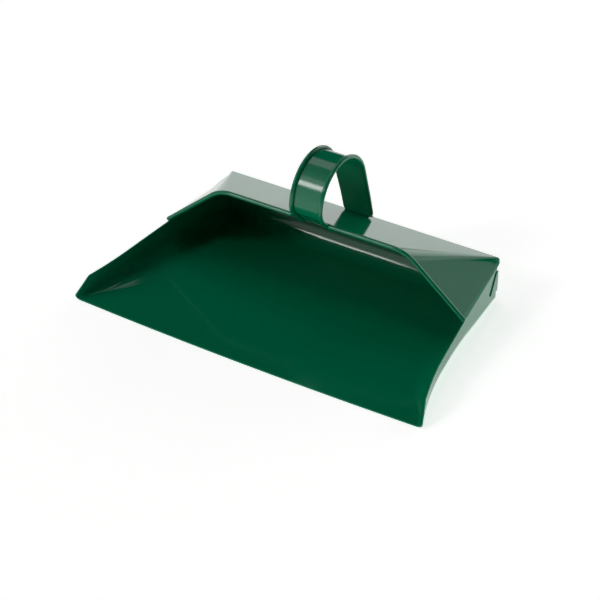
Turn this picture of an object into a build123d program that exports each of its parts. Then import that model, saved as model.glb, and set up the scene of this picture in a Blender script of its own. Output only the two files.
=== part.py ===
from build123d import *
import math
import os

# Hooded dustpan in enamelled sheet steel: a pressed pan, a sloping hood and a strap handle.
# Worked out in mm from the sweeping lip: X to the right, Y to the rear, Z up from the floor.

# Sheet thicknesses
pan_sheet = 0.8
hood_sheet = 0.8
strap_sheet = 0.8

# Pan in plan
lip_width = 305.0
lip_bow = 3.0
rear_width = 243.0
pan_depth = 169.5
flare_length = 54.0
flare_out = 16.3

# Pan from the side
bend_radius = 10.0
tip_rise = 3.5
front_slope_length = 12.4
front_wall_height = 16.2
hood_wall_height = 26.7

# Corner tabs folded from the back wall onto the side walls
tab_length = 16.0
tab_rise = 3.5
tab_height = 18.0
tab_tip = 4.0

# Hood
hood_depth = 72.8
rim_height = 71.4
rim_flat_width = 164.0
rim_tip_height = 28.9
rim_corner_radius = 30.0
rim_wire = 2.6
rim_set = 0.9
rear_height = 39.0
rear_side_lap = 4.6
rear_corner_radius = 2.5
rear_edge_radius = 1.5
rear_flange = 11.0
flange_corner_radius = 3.7
hood_gap = 0.3

# Notch in the rim where the strap passes through
notch_depth = 3.8
notch_side_gap = 1.6

# Strap handle
strap_width = 28.8
curl_size = 3.3
loop_radius = 30.0
loop_rise = 11.1
loop_back = 23.9
shoulder_radius = 12.5
shoulder_turn = 176.0
loop_ease = 0.02
hook_radius = 6.1
hook_back = 12.3
hook_drop = 2.9
tongue_start = 21.8
tongue_length = 15.0
tongue_bend = 8.0
foot_length = 4.3
foot_bend = 4.0
strap_edge_bend = 1.0
rear_tongue = 9.0
curl_stop = 3.4
curl_mouth = 2.5
curl_hook_turn = 250.0
curl_lead = 0.5
curl_lap = 0.5
curl_sink = 0.15

# How far a cut reaches past the sheet that it trims
cut_margin = 1.0

# Sizes that follow from the ones above
hood_front = pan_depth - hood_depth
hood_rear = pan_depth + hood_sheet
overall_depth = lip_bow + hood_rear + strap_sheet
lip_half = lip_width / 2 + bend_radius - math.sqrt(bend_radius**2 - (bend_radius - tip_rise)**2)
flare_half = lip_half - flare_out
side_taper = math.atan2(flare_half - rear_width / 2, pan_depth - flare_length)
hood_slope = math.atan2(rim_height - rear_height, hood_rear - hood_front)
far = 2 * lip_width


def wall_half(y):
    """Half-width over the side walls on their straight stretch."""
    return rear_width / 2 + (pan_depth - y) * math.tan(side_taper)


def hood_top(y):
    """Height of the hood's upper face on the centre line."""
    return rim_height - (y - hood_front) * math.tan(hood_slope)


def hood_under(y):
    """Height of the hood's lower face on the centre line."""
    return hood_top(y) - hood_sheet / math.cos(hood_slope)


def slab(points, half_width):
    """Solid of one side-view outline, drawn as (y, z) points, to both sides of the centre line."""
    outline = Polyline(*[(0, y, z) for y, z in points], close=True)
    return extrude(make_face(outline), amount=half_width, dir=(1, 0, 0), both=True)


def pan_block(inset, floor, radius):
    """Pan outline raised to a block, with its floor bends rounded; it runs on past the lip."""
    flare_start = (flare_half, flare_length)
    side = Line((rear_width / 2, pan_depth), flare_start)
    flare = TangentArc(flare_start, (lip_half, 0), tangent=side % 1)
    run_on = Line(flare @ 1, flare @ 1 + (flare % 1) * (lip_bow + bend_radius))
    right = Curve() + [side, flare, run_on]
    left = mirror(right, about=Plane.YZ)
    back = Line(side @ 0, (-rear_width / 2, pan_depth))
    front = Line(run_on @ 1, (-(run_on @ 1).X, (run_on @ 1).Y))
    plan = make_face(right.edges() + left.edges() + [back, front])
    if inset:
        plan = offset(plan, amount=-inset, kind=Kind.INTERSECTION)
    block = extrude(plan, amount=rim_height, dir=(0, 0, 1)).moved(Location((0, 0, floor)))
    floor_edges = block.edges().group_by(Axis.Z)[0].sort_by(Axis.Y)[1:]
    return fillet(floor_edges, radius)


def corner_tab():
    """Tapered tab of the back wall, lapped round the right rear corner."""
    plane = Plane(
        origin=(rear_width / 2, pan_depth, bend_radius),
        x_dir=(-math.sin(side_taper), math.cos(side_taper), 0),
        z_dir=(math.cos(side_taper), math.sin(side_taper), 0),
    )
    corners = [(pan_sheet, 0), (-tab_length, tab_rise), (-tab_tip, tab_height), (pan_sheet, tab_height)]
    outline = Polyline(*corners, close=True)
    tab = extrude(plane * make_face(outline), amount=pan_sheet, dir=plane.z_dir)
    beyond = Location((0, pan_depth + far / 2, 0)) * Box(far, far, far)
    return tab - beyond


def section_points(y, top_half, top_height, low_half, low_height, inset):
    """Corner points of the hood's cross-section at y, moved in from the outer face."""
    turn = math.atan2(top_height - low_height, low_half - top_half)
    top = (top_half - inset * math.tan(turn / 2), top_height - inset)
    low = (low_half - inset * math.sin(turn), low_height - inset * math.cos(turn))
    return [(-low[0], y, low[1]), (-top[0], y, top[1]), (top[0], y, top[1]), (low[0], y, low[1])]


def front_points(inset):
    """Hood cross-section at the rim."""
    tip_half = wall_half(hood_front) + hood_gap + hood_sheet / 2
    return section_points(hood_front, rim_flat_width / 2, rim_height, tip_half, rim_tip_height, inset)


def rear_points(inset):
    """Hood cross-section at the rear edge."""
    half = rear_width / 2 + hood_gap + hood_sheet
    return section_points(hood_rear, half, rear_height, half, rear_height - rear_side_lap, inset)


def sheet_face(points, radius):
    """Face of the hood's bent sheet for one cross-section."""
    outer = FilletPolyline(*points(0), radius=radius)
    inner = FilletPolyline(*points(hood_sheet), radius=radius - hood_sheet)
    ends = [Line(outer @ 0, inner @ 0), Line(outer @ 1, inner @ 1)]
    return make_face(outer.edges() + inner.edges() + ends)


def clear_face(points, radius, inset):
    """Face of the room that the hood needs above the walls, for one cross-section."""
    lower = FilletPolyline(*points(inset), radius=radius - inset)
    start, end = lower @ 0, lower @ 1
    left_side = [(-far, start.Y, start.Z), (-far, start.Y, far)]
    right_side = [(far, end.Y, far), (far, end.Y, end.Z)]
    roof = Polyline(start, *left_side, *right_side, end)
    return make_face(lower.edges() + roof.edges())


def outside_rear_bend(half_width):
    """Metal to take away so that the hood's rear edge turns down in a round bend."""
    turn = math.pi / 2 - hood_slope
    reach = rear_edge_radius * math.tan(turn / 2)
    on_top = (0, hood_rear - reach * math.cos(hood_slope), rear_height + reach * math.sin(hood_slope))
    above = on_top[2] + cut_margin
    behind = hood_rear + cut_margin
    on_back = (0, hood_rear, rear_height - reach)
    halfway = (
        0,
        hood_rear - rear_edge_radius * (1 - math.cos(turn / 2)),
        rear_height - reach + rear_edge_radius * math.sin(turn / 2),
    )
    bend = ThreePointArc(on_top, halfway, on_back)
    outside = Polyline(on_back, (0, behind, on_back[2]), (0, behind, above), (0, on_top[1], above), on_top)
    return extrude(make_face(bend.edges() + outside.edges()), amount=half_width, dir=(1, 0, 0), both=True)


def ahead_of_lip():
    """Room in front of the sweeping lip, which bows forward a little between its tips."""
    lip = ThreePointArc((-lip_width / 2, 0), (0, -lip_bow), (lip_width / 2, 0))
    in_front = Polyline(lip @ 1, (far, 0), (far, -far), (-far, -far), (-far, 0), lip @ 0)
    return extrude(make_face(lip.edges() + in_front.edges()), amount=far, dir=(0, 0, 1), both=True)


def make_pan():
    """Pan: floor, flared side walls and back wall in one pressed sheet."""
    block = pan_block(0, 0, bend_radius)
    hollow = pan_block(pan_sheet, pan_sheet, bend_radius - pan_sheet)
    pan = block - hollow
    before_lip = -lip_bow - cut_margin
    outline = [
        (before_lip, -cut_margin),
        (before_lip, tip_rise),
        (0, tip_rise),
        (front_slope_length, front_wall_height),
        (hood_front, hood_wall_height),
        (pan_depth, rear_height + hood_sheet),
        (pan_depth + cut_margin, rear_height + hood_sheet),
        (pan_depth + cut_margin, -cut_margin),
    ]
    pan = pan & (slab(outline, far) - ahead_of_lip())
    under_hood = loft([
        clear_face(front_points, rim_corner_radius, hood_sheet + hood_gap),
        clear_face(rear_points, rear_corner_radius, hood_sheet + hood_gap),
    ], ruled=True)
    pan = pan - under_hood
    tab = corner_tab()
    return pan + tab + mirror(tab, about=Plane.YZ)


def make_hood():
    """Hood: sloping sheet with a wired rim, side laps and a rear flange."""
    sheet = loft([
        sheet_face(front_points, rim_corner_radius),
        sheet_face(rear_points, rear_corner_radius),
    ], ruled=True)
    half = rear_width / 2 + hood_gap + hood_sheet
    drop = hood_sheet / 2
    flange_box = Box(2 * half, hood_sheet, rear_flange - drop, align=(Align.CENTER, Align.MIN, Align.MAX))
    flange = Location((0, pan_depth, rear_height - drop)) * flange_box
    low_corners = flange.edges().filter_by(Axis.Y).group_by(Axis.Z)[0]
    flange = fillet(low_corners, flange_corner_radius)
    top_corners = flange.edges().filter_by(Axis.Y).group_by(Axis.Z)[-1]
    flange = fillet(top_corners, rear_corner_radius - drop)
    hood = sheet + flange
    hood = hood - outside_rear_bend(half + hood_sheet)
    path = FilletPolyline(*front_points(hood_sheet / 2), radius=rim_corner_radius - hood_sheet / 2)
    across = Plane(origin=path @ 0, x_dir=(0, 1, 0), z_dir=path % 0)
    ahead_of_sheet = Pos(-rim_wire / 2, 0) * Rectangle(rim_wire, 2 * rim_wire)
    curl = Pos(-rim_set, 0) * Circle(rim_wire / 2)
    hood = hood + sweep(across * (curl & ahead_of_sheet), path=path)
    notch_width = strap_width + 2 * notch_side_gap
    notch = Box(notch_width, 2 * notch_depth, 2 * (rim_wire + cut_margin))
    return hood - Location((0, hood_front, rim_height)) * notch


def tangent_line(first, second, grow):
    """Ends of the straight that leaves one guide circle and meets the next, grown outwards.

    Guides are (y, z, radius); a negative radius bends the strap the other way."""
    span = math.hypot(second[0] - first[0], second[1] - first[1])
    heading = math.atan2(second[1] - first[1], second[0] - first[0])
    normal = heading + math.acos((first[2] - second[2]) / span)
    ends = []
    for y, z, radius in (first, second):
        reach = radius + grow
        ends.append((0, y + reach * math.cos(normal), z + reach * math.sin(normal)))
    return ends[0], ends[1], normal


def strap_path(guides, grow):
    """Edges of a line that runs straight between the guide circles and bends round each."""
    edges = []
    last_end, last_normal = None, None
    for number in range(len(guides) - 1):
        start, end, normal = tangent_line(guides[number], guides[number + 1], grow)
        if last_end is not None:
            y, z, radius = guides[number]
            turn = math.remainder(normal - last_normal, math.tau)
            middle = last_normal + turn / 2
            reach = radius + grow
            halfway = (0, y + reach * math.cos(middle), z + reach * math.sin(middle))
            edges.append(ThreePointArc(last_end, halfway, start))
        edges.append(Line(start, end))
        last_end, last_normal = end, normal
    return edges


def strap_guides():
    """Guide circles for the strap's inner face, from the tongue under the hood to the rear tongue."""
    sine, cosine = math.sin(hood_slope), math.cos(hood_slope)
    tongue_y = hood_front + tongue_start
    tongue_end_y = tongue_y + tongue_length
    tongue_end = (tongue_end_y, hood_under(tongue_end_y), 0)
    tongue_turn = (tongue_y - tongue_bend * sine, hood_under(tongue_y) - tongue_bend * cosine, -tongue_bend)
    hook = (hood_front + hook_back, rim_height - hook_drop, hook_radius)
    loop = (hood_front + loop_back, rim_height + loop_rise, loop_radius)
    shift = loop_radius - shoulder_radius + loop_ease
    angle = math.radians(shoulder_turn)
    shoulder = (loop[0] + shift * math.cos(angle), loop[1] + shift * math.sin(angle), shoulder_radius)
    foot_y = hood_rear - foot_length
    foot = (foot_y + foot_bend * sine, hood_top(foot_y) + foot_bend * cosine, -foot_bend)
    edge_drop = strap_edge_bend * math.tan((math.pi / 2 - hood_slope) / 2)
    edge = (hood_rear - strap_edge_bend, rear_height - edge_drop, strap_edge_bend)
    end = (hood_rear, rear_height - rear_tongue, 0)
    return [tongue_end, tongue_turn, hook, shoulder, loop, foot, edge, end]


def make_handle():
    """Handle: flat strap with a curl rolled outwards along both edges, open at its front end."""
    guides = strap_guides()
    inner = strap_path(guides, 0)
    outer = strap_path(guides, strap_sheet)
    ends = [Line(inner[0] @ 0, outer[0] @ 0), Line(inner[-1] @ 1, outer[-1] @ 1)]
    curl_radius = curl_size / 2
    curl_half = strap_width / 2 - curl_radius
    flat_half = curl_half - curl_lap
    strap = extrude(make_face(inner + outer + ends), amount=flat_half, dir=(1, 0, 0), both=True)

    hook, shoulder, loop, foot = guides[2:6]
    turn = math.radians(curl_hook_turn)
    start = (
        hook[0] + hook_radius * math.cos(turn) - curl_lead * math.sin(turn),
        hook[1] + hook_radius * math.sin(turn) + curl_lead * math.cos(turn),
        0,
    )
    leg_top, leg_foot, _ = tangent_line(loop, foot, 0)
    keep = 1 - curl_stop / math.dist(leg_top, leg_foot)
    stop = (
        leg_top[1] + (leg_foot[1] - leg_top[1]) * keep,
        leg_top[2] + (leg_foot[2] - leg_top[2]) * keep,
        0,
    )
    path = Wire(strap_path([start, hook, shoulder, loop, stop], curl_radius - curl_sink))
    open_end = Plane(origin=path @ 0, x_dir=(1, 0, 0), z_dir=path % 0)
    outside_strap = Pos(curl_radius + flat_half - curl_half, 0) * Rectangle(2 * curl_radius, 4 * curl_radius)
    curl = sweep(open_end * (Circle(curl_radius) & outside_strap), path=path)
    curl = curl - extrude(open_end * Circle(curl_radius - strap_sheet), amount=curl_mouth)
    curl = curl.moved(Location((curl_half, 0, 0)))
    return strap + curl + mirror(curl, about=Plane.YZ)


os.makedirs("parts", exist_ok=True)
to_middle = Location((0, lip_bow - overall_depth / 2, 0))
export_step(make_pan().moved(to_middle), "parts/pan.step")
export_step(make_hood().moved(to_middle), "parts/hood.step")
export_step(make_handle().moved(to_middle), "parts/handle.step")
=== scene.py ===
"""Looks of a hooded dustpan: a pressed pan, a folded hood with a wired rim, and a strap handle.

All three are sheet steel in one green stove enamel. Sizes are in mm from the sweeping lip
(X to the right, Y to the rear, Z up) and become metres in the frame's own coordinates.
"""

import logging
import math
import sys
from dataclasses import dataclass
from enum import Enum, IntEnum
from typing import Any, Iterable, Sequence

import bmesh
import bpy
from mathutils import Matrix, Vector, noise
from mathutils.kdtree import KDTree


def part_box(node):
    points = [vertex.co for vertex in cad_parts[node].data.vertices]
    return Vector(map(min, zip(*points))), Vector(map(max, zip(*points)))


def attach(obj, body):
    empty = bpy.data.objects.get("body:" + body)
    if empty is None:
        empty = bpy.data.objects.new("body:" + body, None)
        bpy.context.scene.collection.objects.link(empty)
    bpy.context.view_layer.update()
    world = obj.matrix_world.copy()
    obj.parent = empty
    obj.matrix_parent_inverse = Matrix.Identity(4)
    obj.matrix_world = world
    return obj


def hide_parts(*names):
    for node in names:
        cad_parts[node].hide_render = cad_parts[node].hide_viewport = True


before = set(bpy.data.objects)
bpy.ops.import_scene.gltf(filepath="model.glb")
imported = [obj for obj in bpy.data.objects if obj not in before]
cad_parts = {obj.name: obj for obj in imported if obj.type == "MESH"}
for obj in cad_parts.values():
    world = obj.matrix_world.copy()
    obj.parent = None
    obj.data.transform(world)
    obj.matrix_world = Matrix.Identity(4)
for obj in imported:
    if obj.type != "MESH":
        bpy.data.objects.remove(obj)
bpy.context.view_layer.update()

log = logging.getLogger("dustpan")

MM = 0.001
QUARTER = math.pi / 2
HALF_TURN = 180.0
WHITE = "#ffffff"
# The lip bows forward by this much, in mm, from the line of its tips, which is Y = 0 here.
LIP_BOW = 3.0
LIP_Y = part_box("pan")[0].y + LIP_BOW * MM
# Points closer than this, in metres, are one point.
MERGE_GAP = 0.005 * MM
# A hair's breadth, in mm: it keeps two faces apart, and is the slack of a comparison.
HAIR = 0.01
# Degrees by which the sheet turns at least at a cut edge, and at a fold that stays crisp.
CUT_ANGLE = 62.0
FOLD_ANGLE = 50.0

Grid = list[list[Vector]]
Face = tuple[int, ...]
Knots = tuple[tuple[float, float], ...]
SectionPoint = tuple[float, float, float]
Circle = tuple[float, float, float]


class Side(Enum):
    """Left and right of the centre line, as the sign of X."""

    LEFT = -1
    RIGHT = 1


class Guide(IntEnum):
    """Guide circles that the handle's strap runs round, from the front tongue to the rear one."""

    TONGUE_END = 0
    TONGUE_BEND = 1
    HOOK = 2
    SHOULDER = 3
    LOOP = 4
    LEG = 5
    FOOT = 6
    EDGE = 7
    REAR_END = 8


def place(x: float, y: float, z: float) -> Vector:
    """Point of the frame, in metres, for a point measured in mm from the middle of the lip."""
    return Vector((x * MM, LIP_Y + y * MM, z * MM))


def linear(hex_colour: str) -> tuple[float, float, float, float]:
    """Turns an sRGB hex colour into linear light.

    Args:
        hex_colour: Colour such as "#0a5c3c".

    Returns:
        Red, green, blue and an alpha of 1.
    """
    values = []
    for start in (1, 3, 5):
        share = int(hex_colour[start:start + 2], 16) / 255
        values.append(share / 12.92 if share <= 0.04045 else ((share + 0.055) / 1.055) ** 2.4)
    return values[0], values[1], values[2], 1.0


def steps(start: float, end: float, count: int) -> list[float]:
    """Evenly spaced values from start to end, both included, in count intervals."""
    return [start + (end - start) * number / count for number in range(count + 1)]


def flowing(knots: Knots, at: float) -> float:
    """Reads a size off the smooth curve through a few known sizes.

    Args:
        knots: (place, size) pairs in order of place.
        at: Place to read at.

    Returns:
        The size there; beyond the ends it stays as it is at the end.
    """
    at = min(max(at, knots[0][0]), knots[-1][0])
    last = len(knots) - 1
    slopes = []
    for number in range(last + 1):
        before, after = knots[max(number - 1, 0)], knots[min(number + 1, last)]
        slopes.append((after[1] - before[1]) / (after[0] - before[0]))
    number = max(n for n in range(last) if knots[n][0] <= at)
    (start, first), (end, second) = knots[number], knots[number + 1]
    share, span = (at - start) / (end - start), end - start
    rest = 1 - share
    bulge = share * rest * rest * slopes[number] - share * share * rest * slopes[number + 1]
    leaving = first * rest * rest * (1 + 2 * share)
    coming = second * share * share * (3 - 2 * share)
    return leaving + coming + bulge * span


def add_node(
    tree: bpy.types.NodeTree, kind: str, inputs: dict | None = None, **settings: Any
) -> bpy.types.Node:
    """Adds one node with its settings, values and links.

    Args:
        tree: Tree that gets the node.
        kind: Node type, such as "ShaderNodeBump".
        inputs: For each input socket, by name or number, an output socket to link or a value.
        **settings: Properties set on the node itself.

    Returns:
        The new node.
    """
    node = tree.nodes.new(kind)
    for name, value in settings.items():
        setattr(node, name, value)
    for socket, source in (inputs or {}).items():
        if isinstance(source, bpy.types.NodeSocket):
            tree.links.new(source, node.inputs[socket])
        else:
            node.inputs[socket].default_value = source
    return node


def empty_tree(owner: bpy.types.Material | bpy.types.World) -> bpy.types.NodeTree:
    """Gives a material or a world an empty node tree.

    Args:
        owner: The material or world.

    Returns:
        Its tree.
    """
    owner.use_nodes = True
    owner.node_tree.nodes.clear()
    return owner.node_tree


def new_object(name: str, data: bpy.types.Mesh | bpy.types.Camera) -> bpy.types.Object:
    """Links a mesh or a camera into the scene as an object at the origin.

    Args:
        name: Name of the object.
        data: The mesh or camera.

    Returns:
        The object.
    """
    item = bpy.data.objects.new(name, data)
    bpy.context.scene.collection.objects.link(item)
    return item


def mesh_of(name: str, points: Iterable[Vector], faces: Iterable[Face]) -> bpy.types.Mesh:
    """Makes a mesh with its doubles merged and its faces turned outwards.

    Args:
        name: Name of the mesh.
        points: Vertices in metres.
        faces: Vertex numbers of each face.

    Returns:
        The cleaned mesh.
    """
    mesh = bpy.data.meshes.new(name)
    mesh.from_pydata([tuple(point) for point in points], [], list(faces))
    clean(mesh)
    return mesh


def clean(mesh: bpy.types.Mesh) -> None:
    """Merges doubles, drops faces without area and turns the faces outwards.

    Args:
        mesh: Mesh that is cleaned.
    """
    work = bmesh.new()
    work.from_mesh(mesh)
    bmesh.ops.remove_doubles(work, verts=work.verts, dist=MERGE_GAP)
    bmesh.ops.dissolve_degenerate(work, edges=work.edges, dist=MERGE_GAP / 2)
    bmesh.ops.recalc_face_normals(work, faces=work.faces)
    work.to_mesh(mesh)
    work.free()


def skin(grid: Grid, first: int = 0) -> list[Face]:
    """Quads that join the neighbouring points of a grid with equal rows.

    Args:
        grid: Rows of points.
        first: Vertex number of the grid's first point.

    Returns:
        The faces, as vertex numbers counted row by row.
    """
    faces = []
    width = len(grid[0])
    for row in range(len(grid) - 1):
        for column in range(width - 1):
            corner = first + row * width + column
            faces.append((corner, corner + 1, corner + width + 1, corner + width))
    return faces


def ring(radius: float, sides: int) -> list[tuple[float, float]]:
    """Evenly spaced points of a circle round the origin.

    Args:
        radius: Radius of the circle.
        sides: Number of points.

    Returns:
        Both coordinates of each point.
    """
    angles = [math.tau * number / sides for number in range(sides)]
    return [(radius * math.cos(angle), radius * math.sin(angle)) for angle in angles]


def ring_faces(rings: int, sides: int) -> list[Face]:
    """Quads that join each closed ring of points to the next.

    Args:
        rings: Number of rings.
        sides: Number of points in each.

    Returns:
        The faces, as vertex numbers counted ring by ring.
    """
    faces = []
    for here in range(0, (rings - 1) * sides, sides):
        there = here + sides
        for number in range(sides):
            after = (number + 1) % sides
            faces.append((here + number, here + after, there + after, there + number))
    return faces


def settle(piece: bpy.types.Object) -> None:
    """Turns what an object's modifiers make of it into its plain mesh.

    Args:
        piece: Object with modifiers, which are removed.
    """
    graph = bpy.context.evaluated_depsgraph_get()
    graph.update()
    result = bpy.data.meshes.new_from_object(piece.evaluated_get(graph))
    piece.modifiers.clear()
    piece.data = result


def round_edges(
    piece: bpy.types.Object, radius: float, segments: int = 3, cut_angle: float = CUT_ANGLE
) -> None:
    """Rounds cut edges as the enamel does, and keeps the result as a plain mesh.

    Args:
        piece: Object with cut edges.
        radius: Rounding in mm.
        segments: Faces across the rounding.
        cut_angle: Degrees by which a cut edge turns at least.
    """
    rounding = piece.modifiers.new("enamelled edge", "BEVEL")
    rounding.width = radius * MM
    rounding.segments = segments
    rounding.limit_method = "ANGLE"
    rounding.angle_limit = math.radians(cut_angle)
    settle(piece)


def thicken(piece: bpy.types.Object, sheet: float, edge_radius: float) -> None:
    """Gives a single face its sheet thickness, inwards, and rounds the cut edges.

    Args:
        piece: Object whose mesh is the sheet's outer face.
        sheet: Thickness in mm.
        edge_radius: Rounding that the enamel leaves on a cut edge, in mm.
    """
    solid = piece.modifiers.new("sheet thickness", "SOLIDIFY")
    solid.thickness = sheet * MM
    solid.offset = -1.0
    solid.use_even_offset = True
    solid.use_quality_normals = True
    round_edges(piece, edge_radius)


def join(name: str, parts: Sequence[bpy.types.Object]) -> bpy.types.Object:
    """Joins the parts of one piece into a single object.

    Args:
        name: Name of the finished piece.
        parts: Objects at the origin; they are used up.

    Returns:
        The piece, with smooth faces that stay crisp at folds.
    """
    whole = bmesh.new()
    for part in parts:
        whole.from_mesh(part.data)
        bpy.data.objects.remove(part)
    mesh = bpy.data.meshes.new(name)
    whole.to_mesh(mesh)
    whole.free()
    for polygon in mesh.polygons:
        polygon.use_smooth = True
    mesh.set_sharp_from_angle(angle=math.radians(FOLD_ANGLE))
    piece = new_object(name, mesh)
    flats = piece.modifiers.new("flat faces stay flat", "WEIGHTED_NORMAL")
    flats.keep_sharp = True
    settle(piece)
    return piece


def bend_line(name: str, points: Sequence[Vector], closed: bool = False) -> bpy.types.Object:
    """Makes an edge-only mesh that the node trees read as a path or a profile.

    Args:
        name: Name of the object.
        points: Points along the line, in metres.
        closed: Whether the last point joins the first.

    Returns:
        The line's object.
    """
    count = len(points)
    edges = [(number, (number + 1) % count) for number in range(count if closed else count - 1)]
    mesh = bpy.data.meshes.new(name)
    mesh.from_pydata([tuple(point) for point in points], edges, [])
    return new_object(name, mesh)


def run_tree(
    carrier: bpy.types.Object, tree: bpy.types.NodeTree, values: dict[str, Any]
) -> bpy.types.Object:
    """Runs a node tree on an object and keeps the result as a plain mesh.

    Args:
        carrier: Object that the tree starts from.
        tree: Geometry node tree.
        values: Value of each named input.

    Returns:
        The carrier, now holding the result.
    """
    modifier = carrier.modifiers.new(tree.name, "NODES")
    modifier.node_group = tree
    for item in tree.interface.items_tree:
        if item.item_type == "SOCKET" and item.in_out == "INPUT" and item.name in values:
            modifier[item.identifier] = values[item.name]
    settle(carrier)
    clean(carrier.data)
    return carrier


def new_tree(name: str, inputs: dict[str, str]) -> tuple[bpy.types.NodeTree, bpy.types.Node]:
    """Starts a geometry node tree.

    Args:
        name: Name of the tree.
        inputs: Socket type of each named input after the geometry.

    Returns:
        The tree and its group input node.
    """
    tree = bpy.data.node_groups.new(name, "GeometryNodeTree")
    tree.interface.new_socket(name="Geometry", in_out="INPUT", socket_type="NodeSocketGeometry")
    for label, kind in inputs.items():
        tree.interface.new_socket(name=label, in_out="INPUT", socket_type=kind)
    tree.interface.new_socket(name="Geometry", in_out="OUTPUT", socket_type="NodeSocketGeometry")
    return tree, add_node(tree, "NodeGroupInput")


def end_tree(
    tree: bpy.types.NodeTree, shape: bpy.types.NodeSocket, finish: bpy.types.NodeSocket
) -> None:
    """Ends a tree: smooth faces, real geometry, and the piece's material.

    Args:
        tree: Geometry node tree.
        shape: Socket that gives the shape.
        finish: Socket that gives the material.
    """
    smooth = add_node(tree, "GeometryNodeSetShadeSmooth", {"Geometry": shape})
    real = add_node(tree, "GeometryNodeRealizeInstances", {"Geometry": smooth.outputs[0]})
    dressed = add_node(tree, "GeometryNodeSetMaterial", {
        "Geometry": real.outputs[0],
        "Material": finish,
    })
    add_node(tree, "NodeGroupOutput", {"Geometry": dressed.outputs[0]})


def rolled_sheet_tree() -> bpy.types.NodeTree:
    """Tree that runs a sheet's profile along one stretch of a bend line.

    Returns:
        The tree.
    """
    tree, group = new_tree("rolled sheet", {
        "Profile": "NodeSocketObject",
        "From": "NodeSocketFloat",
        "To": "NodeSocketFloat",
        "Material": "NodeSocketMaterial",
    })
    line = add_node(tree, "GeometryNodeMeshToCurve", {"Mesh": group.outputs["Geometry"]})
    stretch = add_node(
        tree,
        "GeometryNodeTrimCurve",
        {"Curve": line.outputs[0], 4: group.outputs["From"], 5: group.outputs["To"]},
        mode="LENGTH",
    )
    shape = add_node(tree, "GeometryNodeObjectInfo", {"Object": group.outputs["Profile"]})
    profile = add_node(tree, "GeometryNodeMeshToCurve", {"Mesh": shape.outputs["Geometry"]})
    swept = add_node(tree, "GeometryNodeCurveToMesh", {
        "Curve": stretch.outputs[0],
        "Profile Curve": profile.outputs[0],
        "Fill Caps": True,
    })
    end_tree(tree, swept.outputs[0], group.outputs["Material"])
    return tree


def wired_rim_tree() -> bpy.types.NodeTree:
    """Tree that runs a round wired edge along the rim.

    Returns:
        The tree.
    """
    tree, group = new_tree("wired rim", {
        "Wire radius": "NodeSocketFloat",
        "Sides": "NodeSocketInt",
        "Material": "NodeSocketMaterial",
    })
    line = add_node(tree, "GeometryNodeMeshToCurve", {"Mesh": group.outputs["Geometry"]})
    wire = add_node(tree, "GeometryNodeCurvePrimitiveCircle", {
        "Resolution": group.outputs["Sides"],
        "Radius": group.outputs["Wire radius"],
    })
    swept = add_node(tree, "GeometryNodeCurveToMesh", {
        "Curve": line.outputs[0],
        "Profile Curve": wire.outputs[0],
        "Fill Caps": True,
    })
    end_tree(tree, swept.outputs[0], group.outputs["Material"])
    return tree


def spot_weld_tree() -> bpy.types.NodeTree:
    """Tree that sets a weld mark on each point of the carrier, a little uneven in size.

    Returns:
        The tree.
    """
    tree, group = new_tree("spot welds", {
        "Mark": "NodeSocketObject",
        "Size spread": "NodeSocketFloat",
        "Seed": "NodeSocketInt",
        "Material": "NodeSocketMaterial",
    })
    mark = add_node(tree, "GeometryNodeObjectInfo", {"Object": group.outputs["Mark"]})
    spread = group.outputs["Size spread"]
    smaller = add_node(tree, "ShaderNodeMath", {0: 1.0, 1: spread}, operation="SUBTRACT")
    larger = add_node(tree, "ShaderNodeMath", {0: 1.0, 1: spread}, operation="ADD")
    size = add_node(tree, "FunctionNodeRandomValue", {
        2: smaller.outputs[0],
        3: larger.outputs[0],
        "Seed": group.outputs["Seed"],
    }, data_type="FLOAT")
    marks = add_node(tree, "GeometryNodeInstanceOnPoints", {
        "Points": group.outputs["Geometry"],
        "Instance": mark.outputs["Geometry"],
        "Scale": size.outputs[1],
    })
    end_tree(tree, marks.outputs[0], group.outputs["Material"])
    return tree


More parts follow.
